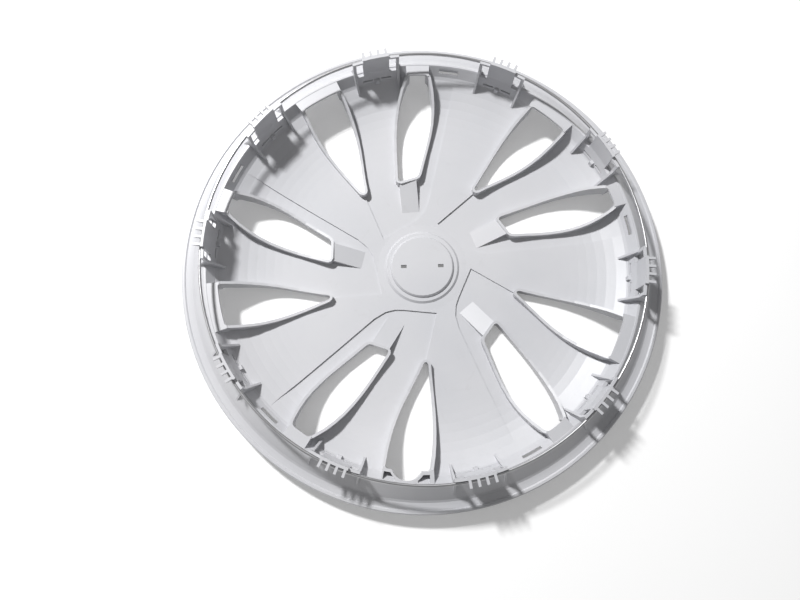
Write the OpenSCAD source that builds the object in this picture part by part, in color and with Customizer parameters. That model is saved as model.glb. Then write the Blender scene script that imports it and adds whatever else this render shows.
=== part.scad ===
// Wheel cover, lying on its face with the clip side up.
// The moulded cover is one piece. The spring wire ring that tensions its clips is the other.
// Z = 0 is the foremost ring of the hub, which the part rests on.

/* [Cover] */
// Outer diameter over the lip
cover_diameter = 400; // [398:1:403]
// Thickness of the moulded skin
skin = 2.4; // [2.2:0.1:2.6]
// Drop from the broad spokes to the sunk blade fields
field_step = 1.4; // [1.0:0.1:1.5]

/* [Windows] */
// Thickness of the return wall round a window
rib = 2.2; // [1.8:0.1:2.4]
// Radius of the notch that clears the valve
valve_notch = 12.5; // [11.5:0.5:13]

/* [Clips] */
// Height of the toothed edge of a clip above the floor
clip_top = 51.6; // [50.8:0.2:52.4]
// Radius of the circle through the tooth tips
tooth_tip = 181; // [180:0.5:182]
// Teeth on each clip
teeth = 4; // [3:1:4]

/* [Wire] */
// Diameter of the spring wire
wire_d = 2.4; // [2:0.1:2.4]

/* [Hidden] */
$fn = 96;

lip_r = cover_diameter / 2;
repeats = 5;
pitch = 360 / repeats;

// heights of the back face of the skin
hub_top = 4;
panel_rise = 4.7;
panel_kick = 11.3;
hub_r = 38;
toe_r = 169;
function reach(r) = max(0, (r - hub_r) / (toe_r - hub_r));
function panel_top(r) = hub_top + panel_rise * reach(r) + panel_kick * pow(reach(r), 6);
function field_drop(r) = field_step * min(1, max(0, (168 - r) / 18));

// flange: ramp up from the spokes, crest, steep fall, valley and lip
crest_in = 176.3;
crest_out = 177.9;
crest_z = 30.2;
valley_r = 191;
valley_z = 17.4;
lip_z = 17.4;
lip_front = 13.4;

// hub
boss_r = 26.5;
boss_top = 8;
collar_r = 31;
collar_top = 5.6;
ring_out = 36;
seat_r = 24;
pin_x = 15.7;

// windows, drawn with their own axis along X
narrow_at = 94;
broad_at = 123;
window_r = 167.3;
end_top = 29.9;
end_front = 27.7;
valve_repeat = 3;
valve_at = -3.3;
valve_r = 162.2;

// clips
clips = 10;
clip_first = 101.7;
clip_in = 172.9;
clip_out = 175;
clip_half = 6.6;
head_half = 3.7;
shoulder_top = 48.6;
clip_slot_at = 4.75;
clip_slot_half = 0.98;
clip_slot_low = 30.5;
clip_slot_high = 46.6;
tooth_pitch = 2.06;
tooth_w = 2;
wire_z = 46;
wire_gap = 0.1;
wire_r = clip_out + wire_gap + wire_d / 2;

function polar(r, a) = [r * cos(a), r * sin(a)];
function turned(pts, a) =
    [for (p = pts) [p[0] * cos(a) - p[1] * sin(a), p[0] * sin(a) + p[1] * cos(a)]];
function cubic(p, t) =
    pow(1 - t, 3) * p[0] + 3 * pow(1 - t, 2) * t * p[1] + 3 * (1 - t) * t * t * p[2] + pow(t, 3) * p[3];
function side(p, n) = [for (i = [0 : n - 1]) cubic(p, i / n)];
function corner(a, c, b, n) =
    [for (i = [0 : n - 1]) let (t = i / n) (1 - t) * (1 - t) * a + 2 * (1 - t) * t * c + t * t * b];
function arc(r, a0, a1, n) = [for (i = [0 : n - 1]) polar(r, a0 + (a1 - a0) * i / n)];
function grow(pts, d) =
    let (n = len(pts))
    [for (i = [0 : n - 1])
        let (a = pts[(i + n - 1) % n], b = pts[(i + 1) % n], t = (b - a) / norm(b - a))
        pts[i] + d * [t[1], -t[0]]];

// narrow window: long bowed leading side, cut-off inner end
narrow_pts = concat(
    side([[83.8, -6], [115, -16.7], [133.7, -27], [162.5, -21.8]], 9),
    corner([162.5, -21.8], [165.5, -21.2], [166.3, -18.6], 3),
    arc(window_r, -6.2, -2.2, 3),
    corner(polar(window_r, -2.2), [167.2, -4.9], [164, -2.9], 3),
    side([[164, -2.9], [140.9, 11.3], [109.5, 11.5], [80, 13]], 9),
    corner([80, 13], [77.4, 13.2], [76.9, 11], 3),
    [[76.9, 11]],
    corner([79.8, -2.6], [80.4, -4.8], [83.8, -6], 3));

// broad window: pointed inner end, wide outer end
broad_pts = concat(
    side([[83, 2.6], [111.8, -9.7], [123, -20.8], [162.9, -26.3]], 9),
    corner([162.9, -26.3], [165.4, -26.4], [165.6, -24], 3),
    arc(window_r, -8, 2.2, 5),
    corner(polar(window_r, 2.2), [166.9, 8], [164.8, 8.5], 3),
    side([[164.8, 8.5], [136.3, 13.9], [111.3, 9], [83.8, 6.2]], 9),
    corner([83.8, 6.2], [80.4, 4.6], [83, 2.6], 4));

// outline of one blade field: hub corner, edge along the hub, long crease, rim, broad window
field_pts = [
    [-32.4, 26], [-8, 39.6], [-2, 43.6], [3.6, 50], [8, 60], [23, 120], [31.5, 155], [36, 184],
    [-60, 178], [-88, 154], [-49, 68.4]];

// top edge of the return walls, as radius and height
rib_line = [
    [70, 11.2], [76, 11.2], [84, 10.8], [95, 10], [106, 9.8], [118, 11], [130, 13.4],
    [142, 17.4], [156, 24.3], [167, 29.6], [170.5, 29.6]];

module sector(a0, a1) {
    rotate([0, 0, a0])
        rotate_extrude(angle = a1 - a0)
            children();
}

module skin_profile(drop) {
    n = 18;
    rs = [for (i = [0 : n]) hub_r + (toe_r - hub_r) * i / n];
    top = concat([[0, hub_top - drop]],
        [for (r = rs) [r, panel_top(r) - (drop > 0 ? field_drop(r) : 0)]]);
    polygon(concat(top, [for (i = [len(top) - 1 : -1 : 0]) [top[i][0], top[i][1] - skin]]));
}

module flange() {
    rotate_extrude()
        polygon([
            [toe_r - 1, panel_top(toe_r) - 0.6], [toe_r, panel_top(toe_r)],
            [171, 21.8], [crest_in - 0.6, crest_z - 0.8], [crest_in, crest_z],
            [crest_out, crest_z], [crest_out + 0.8, crest_z - 0.7],
            [189.2, 18.6], [valley_r, valley_z], [193.4, 16.9], [196.4, 16.5],
            [lip_r - 2.6, lip_z], [lip_r - 0.8, lip_z], [lip_r, lip_z - 0.8],
            [lip_r, lip_front + 0.6], [lip_r - 0.6, lip_front], [lip_r - 2.8, lip_front],
            [196.2, 14.1], [193, 14.6], [190.4, 15.2], [188, 16.8],
            [178.1, 27], [177, 27.6], [175.9, 26.4],
            [172.8, 21.2], [toe_r + 0.4, panel_top(toe_r) - skin], [toe_r - 1, panel_top(toe_r) - skin - 0.4]]);
}

module blade_fields(d) {
    for (k = [0 : repeats - 1])
        translate([0, 0, -10])
            linear_extrude(height = 60)
                polygon(turned(grow(field_pts, d), -pitch * k));
}

module spokes() {
    difference() {
        rotate_extrude() skin_profile(0);
        blade_fields(0);
    }
    intersection() {
        rotate_extrude() skin_profile(field_step);
        blade_fields(1.2);
    }
}

module window_prisms(d, z0, z1) {
    for (k = [0 : repeats - 1])
        translate([0, 0, z0])
            linear_extrude(height = z1 - z0) {
                polygon(turned(grow(narrow_pts, d), narrow_at - pitch * k));
                polygon(turned(grow(broad_pts, d), broad_at - pitch * k));
            }
}

module return_walls() {
    low = [for (i = [len(rib_line) - 1 : -1 : 0])
        let (r = rib_line[i][0]) [r, panel_top(min(r, toe_r)) - field_drop(r) - skin / 2]];
    intersection() {
        window_prisms(rib, -5, 50);
        rotate_extrude() polygon(concat(rib_line, low));
    }
}

// bridge from a window's outer edge over the ramp to the crest
module window_end(a0, a1) {
    sector(a0, a1)
        polygon([[166, 17.5], [169, 18.6], [171.8, 21.4], [176.4, 28.4],
            [crest_in + 0.5, end_top - 0.6], [crest_in + 0.5, end_top], [166, end_top]]);
}

module window_ends() {
    for (k = [0 : repeats - 1]) {
        window_end(narrow_at - pitch * k - 7.6, narrow_at - pitch * k - 1);
        window_end(broad_at - pitch * k - 9.6, broad_at - pitch * k + 3.7);
    }
}

module window_end_hollow(a0, a1) {
    sector(a0, a1)
        polygon([[150, -5], [174.4, -5], [174.4, end_front - 2.6], [175.6, end_front - 0.6],
            [175.6, end_front], [150, end_front]]);
}

module window_end_hollows() {
    for (k = [0 : repeats - 1]) {
        window_end_hollow(narrow_at - pitch * k - 6.7, narrow_at - pitch * k - 1.9);
        if (k != valve_repeat)
            window_end_hollow(broad_at - pitch * k - 8.7, broad_at - pitch * k + 2.8);
    }
}

// the notch for the valve, with a pocket behind its wall on each side
module valve_cut() {
    a = broad_at - pitch * valve_repeat;
    rotate([0, 0, a + valve_at])
        translate([valve_r, 0, -5])
            cylinder(h = 60, r = valve_notch);
    difference() {
        for (s = [-1, 1])
            sector(a + valve_at + s * 4.4 - 1.5, a + valve_at + s * 4.4 + 1.5)
                polygon([[169.6, 21], [175.4, 29], [175.4, 40], [169.6, 40]]);
        rotate([0, 0, a + valve_at])
            translate([valve_r, 0, -5])
                cylinder(h = 60, r = valve_notch + 1.8);
    }
}

// raised floor that leads up to the inner end of a narrow window
module scoops(inset, drop) {
    for (k = [0 : repeats - 1])
        rotate([0, 0, narrow_at - pitch * k])
            translate([0, 12.2 - inset, 0])
                rotate([90, 0, 0])
                    linear_extrude(height = 15 - 2 * inset)
                        polygon([
                            [48 + inset, 1.4 - 2 * drop], [48 + inset, hub_top - field_step - 0.2 - drop],
                            [79.4, 10.9 - drop], [79.4, 4 - 3 * drop]]);
}

module hub() {
    rotate_extrude()
        polygon([
            [0, hub_top - 1], [0, boss_top], [boss_r - 1, boss_top], [boss_r, boss_top - 1],
            [boss_r + 0.6, collar_top], [collar_r - 1, collar_top], [collar_r + 1, hub_top - 0.2],
            [ring_out + 0.8, hub_top - 1], [ring_out, 0.8], [ring_out - 0.8, 0],
            [seat_r + 1, 0], [seat_r, 1], [seat_r, boss_top - skin], [0, boss_top - skin]]);
}

module hub_cut() {
    translate([0, 0, -1])
        cylinder(h = boss_top - skin + 1, r = seat_r);
    for (s = [-1, 1])
        translate([s * pin_x - 2.4, -1.4, -5])
            cube([4.8, 2.8, 20]);
}

// one clip: toothed plate with two slots, foot nub, end webs
module clip_body() {
    difference() {
        sector(-clip_half, clip_half)
            polygon([[170, 20.2], [clip_in, 33], [clip_in, clip_top], [clip_out, clip_top],
                [clip_out, 27.6], [172.6, 23], [171.4, 20.2]]);
        for (s = [-1, 1])
            sector(s * clip_half - (clip_half - head_half), s * clip_half + (clip_half - head_half))
                translate([clip_in - 2, shoulder_top])
                    square([clip_out - clip_in + 4, clip_top]);
    }
    for (i = [0 : teeth - 1])
        rotate([0, 0, (i - (teeth - 1) / 2) * tooth_pitch])
            translate([0, tooth_w / 2, 0])
                rotate([90, 0, 0])
                    linear_extrude(height = tooth_w)
                        polygon([[clip_out - 0.8, 47.7], [177.2, 47.9], [tooth_tip, 50.4],
                            [tooth_tip - 0.4, clip_top], [clip_out - 0.8, clip_top]]);
    for (s = [-1, 1]) {
        rotate([0, 0, s * 1.9])
            translate([0, 2, 0])
                rotate([90, 0, 0])
                    linear_extrude(height = 4)
                        polygon([[clip_out - 0.6, 40.4], [177.4, 43.6], [177.4, 44.6], [clip_out - 0.6, 44.6]]);
        rotate([0, 0, s * (clip_half - 0.3)])
            translate([0, 0.9, 0])
                rotate([90, 0, 0])
                    linear_extrude(height = 1.8)
                        polygon([[163.5, 15], [163.5, panel_top(163.5) + 0.6], [clip_in + 0.3, 40],
                            [clip_in + 0.3, 24], [170, 18.6]]);
        rotate([0, 0, s * (clip_half - 0.3)])
            translate([0, 0.9, 0])
                rotate([90, 0, 0])
                    linear_extrude(height = 1.8)
                        polygon([[clip_out - 0.4, 29], [clip_out - 0.4, 41], [186.4, 21], [184.8, 21]]);
    }
    translate([168.4, -1.7, 18])
        cube([3.4, 3.4, 6.6]);
}

module clip_slots() {
    for (s = [-1, 1]) {
        sector(s * clip_slot_at - clip_slot_half, s * clip_slot_at + clip_slot_half)
            polygon([[170.5, clip_slot_low], [178, clip_slot_low], [178, clip_slot_high],
                [170.5, clip_slot_high]]);
        sector(s * 2.7 - 1.5, s * 2.7 + 1.5)
            polygon([[168, 23.2], [174, 23.2], [178, 25.6], [178, 27.2], [174, 24.8], [168, 24.8]]);
    }
}

module all_clips() {
    for (i = [0 : clips - 1])
        rotate([0, 0, clip_first - i * 360 / clips])
            children();
}

// slots through the foot of the ramp beside each narrow window
module foot_slots() {
    for (k = [0 : repeats - 1])
        sector(77.9 - pitch * k, 83.4 - pitch * k)
            polygon([[172.8, 10], [174.8, 10], [174.8, 40], [172.8, 40]]);
}

module cover() {
    color([0.8, 0.8, 0.82])
        difference() {
            union() {
                flange();
                spokes();
                return_walls();
                window_ends();
                scoops(0, 0);
                hub();
                all_clips() clip_body();
            }
            window_prisms(0, -5, 60);
            window_end_hollows();
            valve_cut();
            scoops(1.8, skin);
            hub_cut();
            all_clips() clip_slots();
            foot_slots();
        }
}

module tension_wire() {
    color([0.62, 0.63, 0.65])
        rotate_extrude()
            translate([wire_r, wire_z])
                circle(d = wire_d);
}

cover();
tension_wire();
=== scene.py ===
# %% [markdown]
# # A moulded wheel cover, seen from its clip side
# The CAD model already has every form: the dished skin, the windows with their return walls, the ten
# clips and the spring wire. This lesson gives the two pieces their finishes, then sets up the floor,
# the light and a camera. Nothing here moves or reshapes the CAD.

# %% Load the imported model
import math

import bpy
from mathutils import Matrix, Vector

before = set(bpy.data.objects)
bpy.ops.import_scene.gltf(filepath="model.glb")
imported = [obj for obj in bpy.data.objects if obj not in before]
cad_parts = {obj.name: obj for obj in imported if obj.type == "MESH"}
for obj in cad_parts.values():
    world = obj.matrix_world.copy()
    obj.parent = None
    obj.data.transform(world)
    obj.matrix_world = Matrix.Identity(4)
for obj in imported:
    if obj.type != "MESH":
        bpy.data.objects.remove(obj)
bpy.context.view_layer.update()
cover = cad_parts["cover"]
tension_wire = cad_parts["tension_wire"]

# %% [markdown]
# ## A small helper for shader nodes
# A procedural finish is a chain of nodes. One short function that adds a node, sets its plain values
# and links its inputs keeps each chain readable.

# %% Helper: add and link a shader node
def add(tree, kind, links=None, values=None, **settings):
    node = tree.nodes.new(kind)
    for name, value in settings.items():
        setattr(node, name, value)
    for name, value in (values or {}).items():
        node.inputs[name].default_value = value
    for name, source in (links or {}).items():
        tree.links.new(source, node.inputs[name])
    return node


# %% [markdown]
# ## Shared effect: cloud of fine and broad unevenness
# Both pieces are never perfectly even: the plastic has a fine grain from its mould and soft clouds
# from handling, the wire has dull and bright stretches. One group makes a broad mask and a fine
# height from Object coordinates, and each material gives it its own sizes.

# %% Shader group: uneven surface
def uneven_surface():
    group = bpy.data.node_groups.new("uneven_surface", "ShaderNodeTree")
    for name, default in (("Broad Scale", 10.0), ("Fine Scale", 900.0), ("Stretch", 1.0)):
        socket = group.interface.new_socket(name, in_out="INPUT", socket_type="NodeSocketFloat")
        socket.default_value = default
    for name in ("Broad Mask", "Fine Height", "Scuffs"):
        group.interface.new_socket(name, in_out="OUTPUT", socket_type="NodeSocketFloat")
    given = group.nodes.new("NodeGroupInput")
    result = group.nodes.new("NodeGroupOutput")
    place = add(group, "ShaderNodeTexCoord")
    factors = add(group, "ShaderNodeCombineXYZ", {"Z": given.outputs["Stretch"]}, {"X": 1.0, "Y": 1.0})
    spread = add(group, "ShaderNodeVectorMath", {0: place.outputs["Object"], 1: factors.outputs[0]},
                 operation="MULTIPLY")
    broad = add(group, "ShaderNodeTexNoise",
                {"Vector": spread.outputs[0], "Scale": given.outputs["Broad Scale"]},
                {"Detail": 4.0, "Roughness": 0.55})
    fine = add(group, "ShaderNodeTexNoise",
               {"Vector": spread.outputs[0], "Scale": given.outputs["Fine Scale"]},
               {"Detail": 2.0, "Roughness": 0.5})
    rubs = add(group, "ShaderNodeTexNoise", {"Vector": spread.outputs[0]},
               {"Scale": 55.0, "Detail": 6.0, "Roughness": 0.7, "Distortion": 1.2})
    rub_edge = add(group, "ShaderNodeMapRange", {"Value": rubs.outputs["Fac"]},
                   {"From Min": 0.60, "From Max": 0.72})
    group.links.new(broad.outputs["Fac"], result.inputs["Broad Mask"])
    group.links.new(fine.outputs["Fac"], result.inputs["Fine Height"])
    group.links.new(rub_edge.outputs["Result"], result.inputs["Scuffs"])
    return group


surface_group = uneven_surface()
print("group outputs:", [s.name for s in surface_group.interface.items_tree if s.in_out == "OUTPUT"])


# %% [markdown]
# ## Finish of the moulded cover
# The back of such a cover is bare silver-grey plastic with a satin sheen: pale, slightly cool, with
# faint clouds in the colour, a little duller where it has rubbed, and a mould grain that only shows
# in a highlight. Two close greys are mixed by the broad mask, so the tone stays quiet.

# %% Material: silver-grey moulding
PALE_GREY = (0.585, 0.585, 0.605, 1.0)
COOL_GREY = (0.520, 0.525, 0.550, 1.0)
RUBBED_GREY = (0.440, 0.435, 0.440, 1.0)


def moulding_material():
    material = bpy.data.materials.new("silver_grey_moulding")
    material.use_nodes = True
    tree = material.node_tree
    shader = tree.nodes["Principled BSDF"]
    texture = add(tree, "ShaderNodeGroup", node_tree=surface_group)
    texture.inputs["Broad Scale"].default_value = 9.0
    texture.inputs["Fine Scale"].default_value = 1100.0
    clouds = add(tree, "ShaderNodeMapRange", {"Value": texture.outputs["Broad Mask"]},
                 {"From Min": 0.35, "From Max": 0.70})
    tone = add(tree, "ShaderNodeMix", {"Factor": clouds.outputs["Result"]},
               data_type="RGBA")
    tone.inputs[6].default_value = PALE_GREY
    tone.inputs[7].default_value = COOL_GREY
    rub_amount = add(tree, "ShaderNodeMath", {0: texture.outputs["Scuffs"]}, operation="MULTIPLY")
    rub_amount.inputs[1].default_value = 0.22
    rubbed = add(tree, "ShaderNodeMix", {"Factor": rub_amount.outputs[0]}, data_type="RGBA")
    rubbed.inputs[7].default_value = RUBBED_GREY
    tree.links.new(tone.outputs[2], rubbed.inputs[6])
    tree.links.new(rubbed.outputs[2], shader.inputs["Base Color"])
    gloss = add(tree, "ShaderNodeMapRange", {"Value": texture.outputs["Broad Mask"]},
                {"From Min": 0.3, "From Max": 0.7, "To Min": 0.30, "To Max": 0.42})
    tree.links.new(gloss.outputs["Result"], shader.inputs["Roughness"])
    grain = add(tree, "ShaderNodeBump", {"Height": texture.outputs["Fine Height"]},
                {"Strength": 0.10, "Distance": 0.0003})
    tree.links.new(grain.outputs["Normal"], shader.inputs["Normal"])
    shader.inputs["IOR"].default_value = 1.5
    return material


# %% [markdown]
# ## Finish of the spring wire
# The ring is plain drawn steel: metallic, fairly bright, with a dull haze that comes and goes along
# its length. Stretching the noise across the wire's height gives the drawn look.

# %% Material: drawn steel wire
def wire_material():
    material = bpy.data.materials.new("drawn_steel_wire")
    material.use_nodes = True
    tree = material.node_tree
    shader = tree.nodes["Principled BSDF"]
    texture = add(tree, "ShaderNodeGroup", node_tree=surface_group)
    texture.inputs["Broad Scale"].default_value = 30.0
    texture.inputs["Fine Scale"].default_value = 700.0
    texture.inputs["Stretch"].default_value = 6.0
    haze = add(tree, "ShaderNodeMapRange", {"Value": texture.outputs["Broad Mask"]},
               {"From Min": 0.35, "From Max": 0.65})
    tone = add(tree, "ShaderNodeMix", {"Factor": haze.outputs["Result"]}, data_type="RGBA")
    tone.inputs[6].default_value = (0.62, 0.62, 0.63, 1.0)
    tone.inputs[7].default_value = (0.42, 0.42, 0.43, 1.0)
    tree.links.new(tone.outputs[2], shader.inputs["Base Color"])
    dull = add(tree, "ShaderNodeMapRange", {"Value": texture.outputs["Broad Mask"]},
               {"From Min": 0.35, "From Max": 0.65, "To Min": 0.28, "To Max": 0.45})
    tree.links.new(dull.outputs["Result"], shader.inputs["Roughness"])
    drawn = add(tree, "ShaderNodeBump", {"Height": texture.outputs["Fine Height"]},
                {"Strength": 0.15, "Distance": 0.0002})
    tree.links.new(drawn.outputs["Normal"], shader.inputs["Normal"])
    shader.inputs["Metallic"].default_value = 1.0
    return material


# %% Give each CAD piece its finish
def dress(piece, material):
    for slot in piece.material_slots:
        slot.material = material
    print(piece.name, "->", material.name, len(piece.data.polygons), "triangles")


dress(cover, moulding_material())
dress(tension_wire, wire_material())


# %% [markdown]
# ## Floor
# The cover lies on its face on a plain pale floor. A little glow that only camera, mirror and glass
# rays see lifts the floor to white without lighting the cover, and the floor still takes its shadow.

# %% Pale floor
FLOOR_HALF = 3.0
FLOOR_GLOW = 0.22


def pale_floor():
    mesh = bpy.data.meshes.new("floor")
    corners = [(-FLOOR_HALF, -FLOOR_HALF, 0), (FLOOR_HALF, -FLOOR_HALF, 0),
               (FLOOR_HALF, FLOOR_HALF, 0), (-FLOOR_HALF, FLOOR_HALF, 0)]
    mesh.from_pydata(corners, [], [(0, 1, 2, 3)])
    floor = bpy.data.objects.new("floor", mesh)
    bpy.context.collection.objects.link(floor)
    material = bpy.data.materials.new("pale_floor")
    material.use_nodes = True
    tree = material.node_tree
    shader = tree.nodes["Principled BSDF"]
    shader.inputs["Base Color"].default_value = (0.80, 0.80, 0.80, 1.0)
    shader.inputs["Roughness"].default_value = 0.9
    rays = add(tree, "ShaderNodeLightPath")
    seen = add(tree, "ShaderNodeMath", {0: rays.outputs["Is Camera Ray"],
                                        1: rays.outputs["Is Glossy Ray"]}, operation="MAXIMUM")
    seen = add(tree, "ShaderNodeMath", {0: seen.outputs[0],
                                        1: rays.outputs["Is Transmission Ray"]}, operation="MAXIMUM")
    glow = add(tree, "ShaderNodeMath", {0: seen.outputs[0]}, operation="MULTIPLY")
    glow.inputs[1].default_value = FLOOR_GLOW
    shader.inputs["Emission Color"].default_value = (1.0, 1.0, 1.0, 1.0)
    tree.links.new(glow.outputs[0], shader.inputs["Emission Strength"])
    mesh.materials.append(material)
    return floor


pale_floor()

# %% [markdown]
# ## Light
# One soft lamp stands high at the upper left, as in the photograph, where the clips throw their
# shadows inwards to the lower right. The world fills in from all sides at about a third of that, and
# only the camera sees it as plain white.

# %% Lamp and world
LAMP_TURN = math.radians(132)
LAMP_RISE = math.radians(52)
LAMP_DISTANCE = 1.6
LAMP_POWER = 31.0
FILL_LEVEL = 0.25

to_lamp = Vector((math.cos(LAMP_RISE) * math.cos(LAMP_TURN),
                  math.cos(LAMP_RISE) * math.sin(LAMP_TURN), math.sin(LAMP_RISE)))
lamp_data = bpy.data.lights.new("soft_lamp", "AREA")
lamp_data.shape = "DISK"
lamp_data.size = 0.16
lamp_data.energy = LAMP_POWER
lamp = bpy.data.objects.new("soft_lamp", lamp_data)
bpy.context.collection.objects.link(lamp)
lamp.location = to_lamp * LAMP_DISTANCE
lamp.rotation_euler = (-to_lamp).to_track_quat("-Z", "Y").to_euler()

world = bpy.data.worlds.new("plain_world")
world.use_nodes = True
sky = world.node_tree.nodes["Background"]
sky.inputs["Color"].default_value = (1.0, 1.0, 1.0, 1.0)
seen_by = add(world.node_tree, "ShaderNodeLightPath")
strength = add(world.node_tree, "ShaderNodeMapRange", {"Value": seen_by.outputs["Is Camera Ray"]},
               {"To Min": FILL_LEVEL, "To Max": 1.0})
world.node_tree.links.new(strength.outputs["Result"], sky.inputs["Strength"])
bpy.context.scene.world = world
bpy.context.scene.view_settings.view_transform = "Standard"
print("lamp at", tuple(round(c, 3) for c in lamp.location))

# %% [markdown]
# ## Camera
# The photograph was taken from just below the cover's middle, about half a metre up, with a wide
# lens. The pose below was worked out from the round lip and the tips of the clips.

# %% Camera at the photograph's angle
EYE = Vector((-0.02840, -0.14167, 0.51212))
LOOK = Vector((0.0168, 0.2180, -0.9758)).normalized()
UP_HINT = Vector((0.0241, 0.9756, 0.2183))

camera_data = bpy.data.cameras.new("photo_camera")
camera_data.sensor_width = 36.0
camera_data.lens = 27.76
camera_data.clip_start = 0.01
camera = bpy.data.objects.new("photo_camera", camera_data)
bpy.context.collection.objects.link(camera)
right = LOOK.cross(UP_HINT).normalized()
pose = Matrix((right, right.cross(LOOK), -LOOK)).transposed().to_4x4()
pose.translation = EYE
camera.matrix_world = pose
bpy.context.scene.camera = camera
